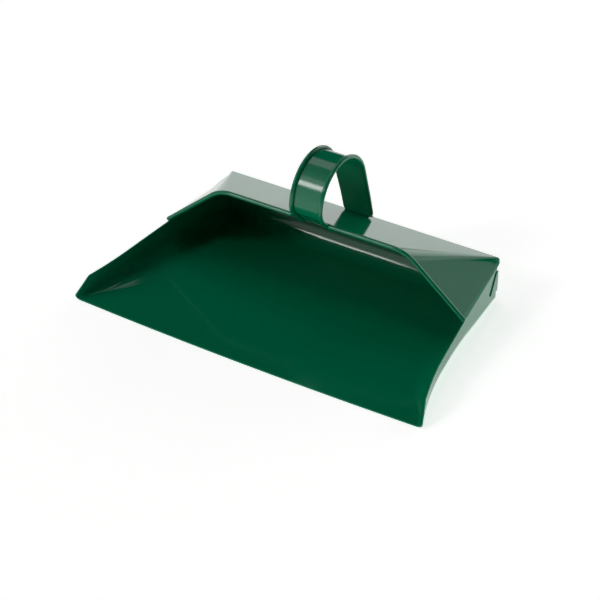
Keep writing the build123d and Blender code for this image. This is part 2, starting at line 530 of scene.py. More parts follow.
@dataclass(frozen=True)
class StoveEnamel:
    """Dark green stove enamel, sprayed on pressed steel and baked.

    It gives the eye a deep, even green under a hard gloss that mirrors the studio, with a faint
    orange peel, a slow drift of tone where the coat is thicker, and a thinner, paler film on cut edges.
    """

    body: str = "#008960"
    thick: str = "#00825a"
    thin: str = "#2fa57c"
    ior: float = 1.5
    # The tone drifts over a hand's breadth, as the spray was thicker or thinner.
    drift_mm: float = 85.0
    # The gloss differs in patches; the noise's values between the two shares cover its whole range.
    gloss_low: float = 0.085
    gloss_high: float = 0.14
    sheen_mm: float = 30.0
    sheen_from: float = 0.3
    sheen_to: float = 0.7
    # Orange peel: dimples about 2 mm apart and a few thousandths of a millimetre deep.
    peel_mm: float = 2.2
    peel_depth_mm: float = 0.0022

    def material(self, name: str) -> bpy.types.Material:
        """Builds the enamel's node material.

        Args:
            name: Name of the material.

        Returns:
            The material, which reads Object coordinates and the piece's edge_film attribute.
        """
        finish = bpy.data.materials.new(name)
        tree = empty_tree(finish)
        where = add_node(tree, "ShaderNodeTexCoord").outputs["Object"]
        drift = add_node(tree, "ShaderNodeTexNoise", {
            "Vector": where,
            "Scale": 1 / (self.drift_mm * MM),
            "Detail": 2.0,
        })
        tone = add_node(tree, "ShaderNodeMix", {
            0: drift.outputs["Fac"],
            6: linear(self.body),
            7: linear(self.thick),
        }, data_type="RGBA")
        film = add_node(tree, "ShaderNodeAttribute", attribute_name="edge_film")
        colour = add_node(tree, "ShaderNodeMix", {
            0: film.outputs["Fac"],
            6: tone.outputs[2],
            7: linear(self.thin),
        }, data_type="RGBA")
        patches = add_node(tree, "ShaderNodeTexNoise", {
            "Vector": where,
            "Scale": 1 / (self.sheen_mm * MM),
            "Detail": 4.0,
        })
        gloss = add_node(tree, "ShaderNodeMapRange", {
            "Value": patches.outputs["Fac"],
            "From Min": self.sheen_from,
            "From Max": self.sheen_to,
            "To Min": self.gloss_low,
            "To Max": self.gloss_high,
        })
        peel = add_node(tree, "ShaderNodeTexNoise", {
            "Vector": where,
            "Scale": 1 / (self.peel_mm * MM),
            "Detail": 1.0,
        })
        bump = add_node(tree, "ShaderNodeBump", {
            "Height": peel.outputs["Fac"],
            "Distance": self.peel_depth_mm * MM,
            "Strength": 1.0,
        })
        shader = add_node(tree, "ShaderNodeBsdfPrincipled", {
            "Base Color": colour.outputs[2],
            "Roughness": gloss.outputs["Result"],
            "IOR": self.ior,
            "Normal": bump.outputs["Normal"],
        })
        add_node(tree, "ShaderNodeOutputMaterial", {"Surface": shader.outputs[0]})
        return finish


def dress(
    piece: bpy.types.Object,
    finish: bpy.types.Material,
    node: str,
    cut_edges: Sequence[Vector],
    film_width: float,
) -> None:
    """Gives a finished piece its enamel and its place in the frame.

    Args:
        piece: The piece's object.
        finish: Its material.
        node: CAD node that the piece stands for.
        cut_edges: Points along the sheet's cut edges, where the enamel film is thin.
        film_width: Width of that thin film, in mm.
    """
    piece.data.materials.clear()
    piece.data.materials.append(finish)
    tree = KDTree(len(cut_edges))
    for number, point in enumerate(cut_edges):
        tree.insert(point, number)
    tree.balance()
    shares = []
    for vertex in piece.data.vertices:
        away = tree.find(vertex.co)[2]
        shares.append(max(0.0, 1.0 - away / (film_width * MM)))
    film = piece.data.attributes.new("edge_film", "FLOAT", "POINT")
    film.data.foreach_set("value", shares)
    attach(piece, "root")
    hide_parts(node)


@dataclass
class Pan:
    """Floor, flared side walls and back wall, pressed from one sheet.

    The floor turns into the walls in bends that are tight at the lip and at the rear corners
    and wide between them. A side bend runs further in over the floor than it rises up the wall.
    """

    # The plan: the lip, and side walls that taper to the rear and flare out to the lip's tips.
    sheet: float = 0.8
    lip_width: float = 305.0
    bow_length: float = 55.0
    rear_width: float = 243.0
    depth: float = 169.5
    flare_length: float = 54.0
    flare_out: float = 14.3
    # The walls: a slanted cut at the front, then (distance from the lip, height).
    tip_rise: float = 3.5
    slope_length: float = 12.4
    wall_tops: Knots = (
        (12.4, 16.2), (30.0, 18.8), (50.0, 21.5), (74.0, 24.2), (98.0, 26.8), (169.5, 37.0),
    )
    # The side bends: (distance from the lip, rise up the wall), then the run over the floor.
    bend_heights: Knots = (
        (0.0, 3.2), (10.0, 6.6), (20.0, 9.0), (33.0, 10.8), (53.0, 13.0), (78.0, 14.6),
        (100.0, 13.8), (121.0, 10.8), (141.0, 8.6), (162.0, 6.2), (169.5, 4.5),
    )
    bend_runs: Knots = (
        (0.0, 4.4), (14.0, 6.4), (23.0, 11.4), (33.0, 17.0), (45.0, 22.5), (60.0, 24.0), (78.0, 25.0),
        (100.0, 22.5), (121.0, 17.0), (141.0, 12.0), (162.0, 7.5), (169.5, 4.5),
    )
    # The back bend, as (distance from the centre line, radius), and the back wall.
    back_bends: Knots = ((0.0, 16.0), (60.0, 16.0), (100.0, 12.0), (121.5, 4.5))
    rear_top: float = 37.0
    corner_radius: float = 1.6
    # The tabs that the back wall laps round the rear corners.
    tab_length: float = 16.0
    tab_foot: float = 10.0
    tab_rise: float = 3.5
    tab_height: float = 18.0
    tab_tip: float = 4.0
    # The enamel on the cut edges, the unevenness of the sheet and the fineness of the mesh.
    edge_radius: float = 0.3
    film_width: float = 1.4
    ripple: float = 0.16
    ripple_size: float = 70.0
    bend_steps: int = 12
    wall_steps: int = 8
    floor_steps: int = 64
    row_spacing: float = 3.6
    slope_rows: int = 9
    slope_crowding: float = 1.5

    def __post_init__(self) -> None:
        """Works out the plan's taper and the flare's arc."""
        flare_half = self.lip_width / 2 - self.flare_out
        run = self.depth - self.flare_length
        self.taper = math.atan2(flare_half - self.rear_width / 2, run)
        chord = math.hypot(self.flare_out, self.flare_length)
        swing = math.atan2(self.flare_out, self.flare_length) - self.taper
        self.flare_radius = chord / (2 * math.sin(swing))
        self.flare_x = flare_half + self.flare_radius * math.cos(self.taper)
        self.flare_y = self.flare_length + self.flare_radius * math.sin(self.taper)

    def half_width(self, y: float) -> tuple[float, float]:
        """Plan of the side wall's outer face.

        Args:
            y: Distance from the lip.

        Returns:
            Half-width over the walls, and the wall's angle to the centre line.
        """
        if y >= self.flare_length:
            return self.rear_width / 2 + (self.depth - y) * math.tan(self.taper), self.taper
        lean = math.asin((self.flare_y - y) / self.flare_radius)
        return self.flare_x - self.flare_radius * math.cos(lean), lean

    def wall_top(self, y: float) -> float:
        """Height of the side wall, with the slanted cut at its front.

        Args:
            y: Distance from the lip.

        Returns:
            Height of the wall's top edge there.
        """
        if y >= self.slope_length:
            return flowing(self.wall_tops, y)
        return self.tip_rise + (self.wall_tops[0][1] - self.tip_rise) * y / self.slope_length

    def wall_line(self, y: float) -> list[tuple[float, float]]:
        """Cross-section of one side at y, from the floor up the bend and the wall.

        Args:
            y: Distance from the lip.

        Returns:
            (distance inside the wall's outer face, height) for each column.
        """
        run, height = flowing(self.bend_runs, y), flowing(self.bend_heights, y)
        line = []
        for turn in steps(0, QUARTER, self.bend_steps):
            line.append((run * (1 - math.sin(turn)), height * (1 - math.cos(turn))))
        return line + [(0.0, z) for z in steps(height, self.wall_top(y), self.wall_steps)[1:]]

    def rows(self) -> list[tuple[float, float]]:
        """Rows of the mesh, crowded at the lip and evenly spaced behind the walls' slanted cut.

        Returns:
            Each row's share of the way from the lip to the rear bend, and its turn round that bend.
        """
        way = self.depth - self.back_bends[-1][1]
        first = self.slope_length / way
        numbers = range(self.slope_rows + 1)
        shares = [first * (number / self.slope_rows) ** self.slope_crowding for number in numbers]
        shares += steps(first, 1, round((way - self.slope_length) / self.row_spacing))[1:]
        turns = steps(0, QUARTER, self.bend_steps)[1:]
        return [(share, 0.0) for share in shares] + [(1.0, turn) for turn in turns]

    def along(self, row: tuple[float, float], across: float) -> tuple[float, float]:
        """Place of one row where it crosses one column.

        Args:
            row: Share of the way to the rear bend, and turn round it.
            across: Column, from -1 at the left wall to 1 at the right wall.

        Returns:
            Distance from the lip, and lift by the rear bend.
        """
        share, turn = row
        radius = flowing(self.back_bends, abs(across) * self.rear_width / 2)
        y = share * (self.depth - radius) + radius * math.sin(turn)
        return y, radius * (1 - math.cos(turn))

    def round_corner(self, x: float, y: float) -> tuple[float, float]:
        """Moves a point of the plan that lies close to a rear corner onto the rounded corner.

        Args:
            x: Distance from the centre line, with its sign.
            y: Distance from the lip.

        Returns:
            The point, moved or as it was.
        """
        radius = self.corner_radius
        line_half = self.rear_width / 2 + (self.depth - y) * math.tan(self.taper)
        from_side = (line_half - abs(x)) * math.cos(self.taper)
        from_back = self.depth - y
        if from_side >= radius or from_back >= radius:
            return x, y
        across, along = radius - from_side, radius - from_back
        shrink = max(across, along) / math.hypot(across, along)
        from_side, from_back = radius - across * shrink, radius - along * shrink
        line_half = self.rear_width / 2 + from_back * math.tan(self.taper)
        return math.copysign(line_half - from_side / math.cos(self.taper), x), self.depth - from_back

    def bowed(self, x: float, y: float) -> float:
        """Bows the lip forward between its tips.

        Args:
            x: Distance from the centre line.
            y: Distance from the line of the tips on a straight lip.

        Returns:
            Distance from that line on the bowed lip and the floor behind it, where the bow fades.
        """
        fade = max(0.0, 1 - y / self.bow_length) ** 2
        inside = max(0.0, 1 - (2 * x / self.lip_width) ** 2)
        return y - LIP_BOW * inside * fade

    def waviness(self, across: float, x: float, y: float) -> float:
        """Slight unevenness of the pressed floor, which fades out towards its bends and lip.

        Args:
            across: Column, from -1 at the left wall to 1 at the right wall.
            x: Distance from the centre line, with its sign.
            y: Distance from the lip.

        Returns:
            Lift of the floor there.
        """
        margin = min((1 - abs(across)) * self.rear_width / 2, y, self.depth - self.back_bends[0][1] - y)
        fade = max(0.0, min(1.0, margin / self.ripple_size * 2))
        return self.ripple * fade * (1 + noise.noise(Vector((x, y, 0)) / self.ripple_size))

    def grid(self) -> Grid:
        """Outer face of the floor, the side walls and the bends.

        Returns:
            Rows of points, from the lip to the end of the rear bend.
        """
        grid = []
        for row in self.rows():
            y, lift = self.along(row, 1.0)
            half, lean = self.half_width(y)
            sides = [(half - inset / math.cos(lean), y, max(z, lift)) for inset, z in self.wall_line(y)]
            floor = []
            for across in steps(-1, 1, self.floor_steps)[1:-1]:
                y, lift = self.along(row, across)
                half, lean = self.half_width(y)
                x = across * (half - flowing(self.bend_runs, y) / math.cos(lean))
                floor.append((x, y, lift + self.waviness(across, x, y)))
            left = [(-x, y, z) for x, y, z in reversed(sides)]
            points = []
            for x, y, z in left + floor + sides:
                x, y = self.round_corner(x, y)
                points.append(place(x, self.bowed(x, y), z))
            grid.append(points)
        return grid

    def back_grid(self, foot: list[Vector]) -> Grid:
        """Back wall above the rear bend.

        Args:
            foot: Row of points at the end of the rear bend.

        Returns:
            Rows of points, from the bend to the wall's top.
        """
        inner = foot[self.wall_steps:len(foot) - self.wall_steps]
        top = self.rear_top * MM
        rows = []
        for share in steps(0, 1, self.wall_steps):
            rows.append([Vector((point.x, point.y, point.z + (top - point.z) * share)) for point in inner])
        return rows

    def tab(self, side: Side) -> bpy.types.Object:
        """Pointed tab of the back wall, lapped round a rear corner and hammered flat.

        Args:
            side: Which rear corner.

        Returns:
            The tab's object.
        """
        outline = [
            (-self.tab_length, self.tab_rise),
            (0, 0),
            (0, self.tab_height),
            (-self.tab_tip, self.tab_height),
        ]
        points = []
        for offset in (0.0, self.sheet):
            for run, height in outline:
                x = self.rear_width / 2 - run * math.sin(self.taper) + offset * math.cos(self.taper)
                y = self.depth + run * math.cos(self.taper) + offset * math.sin(self.taper)
                points.append(place(side.value * x, min(y, self.depth), self.tab_foot + height))
        faces = [(0, 1, 2, 3), (7, 6, 5, 4)]
        faces += ring_faces(2, len(outline))
        piece = new_object("tab", mesh_of("tab", points, faces))
        round_edges(piece, self.edge_radius, segments=2, cut_angle=30.0)
        return piece

    def cut_edges(self, grid: Grid) -> list[Vector]:
        """Points along the lip and the tops of the side walls, where the sheet was cut.

        Args:
            grid: Outer face of the floor and side walls.

        Returns:
            The points.
        """
        edges = list(grid[0])
        for row in grid:
            edges += [row[0], row[-1]]
        return edges

    def build(self, enamel: bpy.types.Material) -> bpy.types.Object:
        """Builds and dresses the pan.

        Args:
            enamel: The pan's finish.

        Returns:
            The finished piece.
        """
        grid = self.grid()
        back = self.back_grid(grid[-1])
        points = [point for row in grid + back for point in row]
        faces = skin(grid) + skin(back, len(grid) * len(grid[0]))
        shell = new_object("pan_sheet", mesh_of("pan_sheet", points, faces))
        thicken(shell, self.sheet, self.edge_radius)
        piece = join("pressed_pan", [shell] + [self.tab(side) for side in Side])
        dress(piece, enamel, "pan", self.cut_edges(grid), self.film_width)
        return piece


@dataclass
class Hood:
    """Sloping hood: a folded sheet with a wired rim, side laps and a spot-welded rear flange."""

    # The sheet: its rim in front with the two tips below, and its rear edge.
    sheet: float = 0.8
    front: float = 96.7
    rear: float = 170.3
    rim_height: float = 71.4
    rim_half: float = 82.0
    rim_corner: float = 30.0
    tip_half: float = 132.97
    tip_height: float = 28.9
    rear_height: float = 39.0
    rear_half: float = 122.6
    rear_corner: float = 2.5
    rear_bend: float = 1.0
    # The laps over the pan's side walls, and the flange behind its back wall.
    side_lap: float = 4.6
    flange: float = 11.0
    # The wire in the rim, how far it stands ahead and proud of the sheet, and the handle's notch.
    wire: float = 3.5
    wire_set: float = 0.9
    wire_stand: float = 0.9
    notch_half: float = 16.0
    notch_depth: float = 3.8
    # The spot welds: their place is a share of the flange, and a mark's profile is
    # (share of its radius, height) from the outside in.
    weld_pitch: float = 36.0
    weld_count: int = 7
    weld_size: float = 5.0
    weld_place: float = 0.62
    weld_spread: float = 0.08
    weld_seed: int = 4
    weld_profile: Knots = ((1.0, -0.02), (0.86, 0.09), (0.7, 0.12), (0.5, 0.06), (0.0, 0.03))
    # The enamel on the cut edges, the unevenness of the sheet and the fineness of the mesh.
    edge_radius: float = 0.3
    film_width: float = 1.4
    ripple: float = 0.14
    ripple_size: float = 60.0
    ripple_layer: float = 7.0
    top_steps: int = 40
    corner_steps: int = 14
    side_steps: int = 12
    depth_steps: int = 26
    bend_steps: int = 6
    flange_steps: int = 6
    notch_steps: int = 6
    notch_rows: int = 2
    wire_sides: int = 20
    weld_sides: int = 28

    @property
    def slope(self) -> float:
        """Angle at which the hood falls to the rear."""
        return math.atan2(self.rim_height - self.rear_height, self.rear - self.front)

    def section(
        self, top_half: float, top: float, low_half: float, low: float, radius: float
    ) -> list[SectionPoint]:
        """Right half of the hood's cross-section, from the centre line to the low edge.

        Args:
            top_half: Half-width to the virtual corner.
            top: Height of the flat top.
            low_half: Half-width at the low edge.
            low: Height of the low edge.
            radius: Outside radius of the corner.

        Returns:
            (x, z, angle of the outward normal from upright) for each column.
        """
        turn = math.atan2(top - low, low_half - top_half)
        reach = radius * math.tan(turn / 2)
        line = [(x, top, 0.0) for x in self.top_columns(top_half - reach)]
        for angle in steps(0, turn, self.corner_steps)[1:]:
            x = top_half - reach + radius * math.sin(angle)
            line.append((x, top - radius * (1 - math.cos(angle)), angle))
        start_x, start_z, _ = line[-1]
        for share in steps(0, 1, self.side_steps)[1:]:
            x = start_x + (low_half - start_x) * share
            line.append((x, start_z + (low - start_z) * share, turn))
        return line

    def top_columns(self, half: float) -> list[float]:
        """Columns across half the flat top, with one at the notch's side."""
        inner = steps(0, self.notch_half, self.notch_steps)
        return inner + steps(self.notch_half, half, self.top_steps - self.notch_steps)[1:]

    def front_section(self, inset: float = 0.0) -> list[SectionPoint]:
        """Cross-section at the rim.

        Args:
            inset: How far it lies inside the outer face.

        Returns:
            Points of its right half.
        """
        turn = math.atan2(self.rim_height - self.tip_height, self.tip_half - self.rim_half)
        return self.section(
            self.rim_half - inset * math.tan(turn / 2),
            self.rim_height - inset,
            self.tip_half - inset * math.sin(turn),
            self.tip_height - inset * math.cos(turn),
            self.rim_corner - inset,
        )

    def rear_section(self) -> list[SectionPoint]:
        """Cross-section at the rear edge."""
        low = self.rear_height - self.side_lap
        return self.section(self.rear_half, self.rear_height, self.rear_half, low, self.rear_corner)

    def waviness(self, x: float, share: float) -> float:
        """Slight unevenness of the hood's panels, which fades towards the rim and the rear edge."""
        spot = Vector((x, share * self.ripple_size, self.ripple_layer)) / self.ripple_size
        return self.ripple * math.sin(math.pi * share) * noise.noise(spot)

    def column(
        self, number: int, ahead: SectionPoint, behind: SectionPoint
    ) -> tuple[list[Vector], list[Vector]]:
        """One column of the right half: over the sheet, round the rear bend and down the flange.

        Args:
            number: Place of the column, counted from the centre line.
            ahead: (x, z, angle) at the rim.
            behind: (x, z, angle) at the rear edge.

        Returns:
            Points on the sheet and its bend, and points on the flange below.
        """
        start = Vector((ahead[0], self.front - self.wire_set / 2, ahead[1]))
        end = Vector((behind[0], self.rear, behind[1]))
        run = end - start
        inward = Vector((-math.sin(behind[2]), 0, -math.cos(behind[2])))
        normal = Vector((math.sin(ahead[2]), 0, math.cos(ahead[2])))
        bend_from = 1 - self.rear_bend / run.length
        notch_share = (self.front + self.notch_depth - start.y) / run.y
        shares = steps(0, notch_share, self.notch_rows)[:-1]
        shares += steps(notch_share, bend_from, self.depth_steps)
        sheet = [start + run * share + normal * self.waviness(start.x, share) for share in shares]
        first, last = start + run * bend_from, end + inward * self.rear_bend
        for share in steps(0, 1, self.bend_steps)[1:]:
            keep = 1 - share
            sheet.append(first * keep * keep + end * 2 * keep * share + last * share * share)
        corner = self.rear_half - self.rear_corner
        if behind[2] == 0:
            low = self.rear_height - self.rear_corner
            lap_end = self.rear_height - self.side_lap
            heights = steps(low, lap_end, self.side_steps)
            heights += steps(lap_end, self.rear_height - self.flange, self.flange_steps)[1:]
            below = [Vector((end.x, self.rear, z)) for z in heights]
        elif number <= self.top_steps + self.corner_steps:
            below = [Vector((corner, self.rear, self.rear_height - self.rear_corner))]
        else:
            below = [Vector((corner, self.rear, end.z))]
        return sheet, below

    def shell(self) -> tuple[bpy.types.Object, list[Vector]]:
        """Outer face of the whole folded sheet, thickened.

        Returns:
            The sheet's object, and points along its cut edges.
        """
        points: list[Vector] = []
        faces: list[Face] = []
        edges: list[Vector] = []
        pairs = list(zip(self.front_section(), self.rear_section()))
        for side in Side:
            last: list[int] | None = None
            for number, (ahead, behind) in enumerate(pairs):
                sheet, below = self.column(number, ahead, behind)
                strip = [place(side.value * p.x, p.y, p.z) for p in sheet + below]
                numbers = list(range(len(points), len(points) + len(strip)))
                points += strip
                skip = self.notch_rows if 0 < number <= self.notch_steps else 0
                if last is not None:
                    for row in range(skip, min(len(last), len(numbers)) - 1):
                        faces.append((last[row], last[row + 1], numbers[row + 1], numbers[row]))
                if number <= self.notch_steps:
                    edges.append(strip[self.notch_rows])
                last = numbers
                low_edge = strip[:len(sheet)]
            edges += low_edge
        shell = new_object("hood_sheet", mesh_of("hood_sheet", points, faces))
        thicken(shell, self.sheet, self.edge_radius)
        return shell, edges

    def rim(self, side: Side, tree: bpy.types.NodeTree, enamel: bpy.types.Material) -> bpy.types.Object:
        """Wired edge from one side of the notch down to the hood's tip.

        Args:
            side: Left or right half of the rim.
            tree: The wired rim's node tree.
            enamel: The hood's finish.

        Returns:
            The wire's object.
        """
        middle = self.front_section(self.wire / 2 - self.wire_stand)
        y = self.front - self.wire_set
        line = [place(side.value * x, y, z) for x, z, _ in middle if x >= self.notch_half - HAIR]
        carrier = bend_line("rim_line", line)
        run_tree(carrier, tree, {
            "Wire radius": self.wire / 2 * MM,
            "Sides": self.wire_sides,
            "Material": enamel,
        })
        round_edges(carrier, 2 * self.edge_radius)
        return carrier

    def weld_mark(self) -> bpy.types.Object:
        """Round mark that a welding electrode leaves: a low ring with a shallow dish.

        Returns:
            The mark's object, facing the rear.
        """
        radius = self.weld_size / 2
        points = []
        for share, height in self.weld_profile:
            circle = ring(share * radius, self.weld_sides)
            points += [Vector((x, height, z)) * MM for x, z in circle]
        faces = ring_faces(len(self.weld_profile), self.weld_sides)
        mark = new_object("weld_mark", mesh_of("weld_mark", points, faces))
        # The mark is open behind, so its faces don't all turn to the rear by themselves.
        for polygon in mark.data.polygons:
            if polygon.normal.y < 0:
                polygon.flip()
        return mark

    def welds(self, tree: bpy.types.NodeTree, enamel: bpy.types.Material) -> bpy.types.Object:
        """Row of spot welds that hold the rear flange on the pan's back wall.

        Args:
            tree: The spot welds' node tree.
            enamel: The hood's finish.

        Returns:
            The marks' object.
        """
        mark = self.weld_mark()
        z = self.rear_height - self.weld_place * self.flange
        half = self.weld_pitch * (self.weld_count - 1) / 2
        spots = [place(x, self.rear, z) for x in steps(-half, half, self.weld_count - 1)]
        clear = [spot for spot in spots if abs(spot.x) > self.notch_half * MM]
        mesh = bpy.data.meshes.new("weld_spots")
        mesh.from_pydata([tuple(spot) for spot in clear], [], [])
        carrier = new_object("weld_spots", mesh)
        run_tree(carrier, tree, {
            "Mark": mark,
            "Size spread": self.weld_spread,
            "Seed": self.weld_seed,
            "Material": enamel,
        })
        bpy.data.objects.remove(mark)
        return carrier

    def build(
        self, enamel: bpy.types.Material, rim_tree: bpy.types.NodeTree, weld_tree: bpy.types.NodeTree
    ) -> bpy.types.Object:
        """Builds and dresses the hood.

        Args:
            enamel: The hood's finish.
            rim_tree: Node tree of the wired rim.
            weld_tree: Node tree of the spot welds.

        Returns:
            The finished piece.
        """
        shell, edges = self.shell()
        rims = [self.rim(side, rim_tree, enamel) for side in Side]
        piece = join("folded_hood", [shell, *rims, self.welds(weld_tree, enamel)])
        dress(piece, enamel, "hood", edges, self.film_width)
        return piece


@dataclass
class Handle:
    """Flat strap with a curl rolled along both edges, bent to a loop and hooked through the rim."""

    # The strap, and the curls along its edges; an angle is in degrees.
    sheet: float = 0.8
    width: float = 28.8
    curl_size: float = 3.3
    curl_end: float = 194.0
    curl_stop: float = 0.2
    end_round: float = 2.4
    # The loop, and the shoulder at its front.
    loop_radius: float = 30.0
    loop_ease: float = 0.02
    loop_rise: float = 11.1
    loop_back: float = 23.9
    shoulder_radius: float = 12.5
    shoulder_turn: float = 176.0
    # The hook through the rim's notch, and the tongue under the hood.
    hook_radius: float = 6.1
    hook_back: float = 12.3
    hook_drop: float = 2.9
    hook_curl_turn: float = 250.0
    tongue_start: float = 21.8
    tongue_length: float = 15.0
    tongue_bend: float = 8.0
    tongue_half: float = 12.25
    # The rear leg, its foot on the hood, and the tongue over the hood's rear edge.
    leg_radius: float = 200.0
    leg_back: float = 60.6
    leg_drop: float = 6.4
    leg_lean: float = 17.2
    narrowing: float = 2.2
    foot_length: float = 6.0
    foot_bend: float = 1.6
    edge_bend: float = 1.0
    rear_tongue: float = 9.0
    rear_tongue_half: float = 11.0
    # The enamel on the cut ends, and the fineness of the mesh.
    film_width: float = 1.0
    overlap: float = 0.6
    arc_step: float = 3.0
    cut_gap: float = 0.001
    curl_steps: int = 26
    curl_edge_steps: int = 5
    bore_steps: int = 22
    strap_steps: int = 12
    tongue_edge_steps: int = 6
    end_steps: int = 6

    def guides(self, hood: Hood) -> list[Circle]:
        """Guide circles that the strap's inner face runs round, in the order of Guide.

        Args:
            hood: The hood that carries the handle.

        Returns:
            (y, z, radius) of each guide; a negative radius bends the strap the other way.
        """
        sine, cosine = math.sin(hood.slope), math.cos(hood.slope)

        def top(y: float) -> float:
            """Height of the hood's upper face."""
            return hood.rim_height - (y - hood.front) * math.tan(hood.slope)

        def under(y: float) -> float:
            """Height of the hood's lower face."""
            return top(y) - hood.sheet / cosine

        turn_y = hood.front + self.tongue_start
        end_y = turn_y + self.tongue_length
        hook = (hood.front + self.hook_back, hood.rim_height - self.hook_drop, self.hook_radius)
        loop = (hood.front + self.loop_back, hood.rim_height + self.loop_rise, self.loop_radius)
        shift = self.loop_radius - self.shoulder_radius + self.loop_ease
        angle = math.radians(self.shoulder_turn)
        lean = math.radians(self.leg_lean)
        leg_y = hood.front + self.leg_back - self.leg_radius * math.cos(lean)
        leg_z = hood.rim_height - self.leg_drop - self.leg_radius * math.sin(lean)
        foot_y = hood.rear - self.foot_length
        bend_y = turn_y - self.tongue_bend * sine
        bend_z = under(turn_y) - self.tongue_bend * cosine
        drop = self.edge_bend * math.tan((QUARTER - hood.slope) / 2)
        return [
            (end_y, under(end_y), 0.0),
            (bend_y, bend_z, -self.tongue_bend),
            hook,
            (loop[0] + shift * math.cos(angle), loop[1] + shift * math.sin(angle), self.shoulder_radius),
            loop,
            (leg_y, leg_z, self.leg_radius),
            (foot_y + self.foot_bend * sine, top(foot_y) + self.foot_bend * cosine, -self.foot_bend),
            (hood.rear - self.edge_bend, hood.rear_height - drop, self.edge_bend),
            (hood.rear, hood.rear_height - self.rear_tongue, 0.0),
        ]

    def beside(self, guide: Circle, angle: float) -> Vector:
        """Point of the strap's middle on a guide circle, at an angle from the rear."""
        reach = guide[2] + self.sheet / 2
        return place(0, guide[0] + reach * math.cos(angle), guide[1] + reach * math.sin(angle))

    def line(self, guides: Sequence[Circle]) -> tuple[list[Vector], list[float]]:
        """Middle of the strap's sheet, straight between the guides and bent round each.

        Args:
            guides: Guide circles of the strap's inner face.

        Returns:
            Points of the line, and its running length in metres at the start of each guide's bend.
        """
        points: list[Vector] = []
        lengths: list[float] = []
        last_normal: float | None = None
        run = 0.0
        for first, second in zip(guides, guides[1:]):
            span = math.hypot(second[0] - first[0], second[1] - first[1])
            heading = math.atan2(second[1] - first[1], second[0] - first[0])
            # Both circles share this normal where the straight stretch between them touches them.
            normal = heading + math.acos((first[2] - second[2]) / span)
            angles = [normal]
            if last_normal is not None:
                turn = math.remainder(normal - last_normal, math.tau)
                count = max(2, round(abs(math.degrees(turn)) / self.arc_step))
                angles = steps(last_normal, last_normal + turn, count)
            for angle in angles:
                point = self.beside(first, angle)
                if points:
                    run += (point - points[-1]).length
                if angle == angles[0]:
                    lengths.append(run)
                points.append(point)
            last_normal = normal
        points.append(self.beside(guides[-1], last_normal))
        lengths.append(run + (points[-1] - points[-2]).length)
        return points, lengths

    def curled_profile(self) -> bpy.types.Object:
        """Cross-section of the strap with its two open curls.

        Returns:
            The closed profile's object.
        """
        radius, half = self.curl_size / 2, self.width / 2 - self.curl_size / 2
        bore, face = radius - self.sheet, self.sheet / 2
        centre = radius - face
        end = math.radians(self.curl_end)
        right = []
        for angle in steps(-QUARTER, end, self.curl_steps):
            right.append((half + radius * math.cos(angle), centre + radius * math.sin(angle)))
        for turn in steps(0, math.pi, self.curl_edge_steps)[1:-1]:
            reach = centre + face * math.cos(turn)
            lead = face * math.sin(turn)
            right.append((
                half + reach * math.cos(end) - lead * math.sin(end),
                centre + reach * math.sin(end) + lead * math.cos(end),
            ))
        for angle in steps(end, -QUARTER, self.bore_steps):
            right.append((half + bore * math.cos(angle), centre + bore * math.sin(angle)))
        outer = [(x, face) for x in steps(half, -half, self.strap_steps)[1:-1]]
        left = [(-x, y) for x, y in reversed(right)]
        inner = [(x, -face) for x in steps(-half, half, self.strap_steps)[1:-1]]
        outline = right + outer + left + inner
        return bend_line("curled_profile", [Vector((x, y, 0)) * MM for x, y in outline], closed=True)

    def flat_profile(self, half: float) -> bpy.types.Object:
        """Cross-section of a flat tongue with rounded long edges.

        Args:
            half: Half-width of the tongue.

        Returns:
            The closed profile's object.
        """
        face = self.sheet / 2 - HAIR
        right = []
        for angle in steps(-QUARTER, QUARTER, self.tongue_edge_steps):
            right.append((half - face + face * math.cos(angle), face * math.sin(angle)))
        outline = right + [(-x, -y) for x, y in right]
        return bend_line("flat_profile", [Vector((x, y, 0)) * MM for x, y in outline], closed=True)

    def build(
        self, enamel: bpy.types.Material, hood: Hood, tree: bpy.types.NodeTree
    ) -> bpy.types.Object:
        """Builds and dresses the handle.

        Args:
            enamel: The handle's finish.
            hood: The hood that carries the handle.
            tree: Node tree that runs a profile along the strap's bend line.

        Returns:
            The finished piece.
        """
        guides = self.guides(hood)
        points, lengths = self.line(guides)
        start = self.beside(guides[Guide.HOOK], math.radians(self.hook_curl_turn))
        curl_from = self.length_at(points, start)
        curl_to = lengths[Guide.FOOT] - self.curl_stop * MM
        turns = steps(0, QUARTER, self.end_steps)
        cuts = [curl_to - self.end_round * MM * (1 - math.cos(turn)) for turn in turns]
        points = self.divided(points, cuts)
        overlap = self.overlap * MM
        curled = self.curled_profile()
        front, rear = self.flat_profile(self.tongue_half), self.flat_profile(self.rear_tongue_half)
        parts = []
        for profile, begin, finish in (
            (curled, curl_from, curl_to),
            (front, 0.0, curl_from + overlap),
            (rear, curl_to - overlap, lengths[-1]),
        ):
            carrier = bend_line("strap_line", points)
            values = {"Profile": profile, "From": begin, "To": finish, "Material": enamel}
            parts.append(run_tree(carrier, tree, values))
        self.narrow_leg(parts[0], guides[Guide.LOOP], hood)
        self.round_end(parts[0], points, curl_to)
        for profile in (curled, front, rear):
            bpy.data.objects.remove(profile)
        piece = join("strap_handle", parts)
        dress(piece, enamel, "handle", [points[0], points[-1]], self.film_width)
        return piece

    def divided(self, points: Sequence[Vector], cuts: Sequence[float]) -> list[Vector]:
        """Adds points to a line at given running lengths.

        Args:
            points: The line.
            cuts: Running lengths, in metres.

        Returns:
            The line with the added points.
        """
        line = [points[0]]
        run = 0.0
        for first, second in zip(points, points[1:]):
            span = (second - first).length
            shares = sorted((cut - run) / span for cut in cuts)
            inside = [share for share in shares if self.cut_gap < share < 1 - self.cut_gap]
            line += [first.lerp(second, share) for share in inside]
            line.append(second)
            run += span
        return line

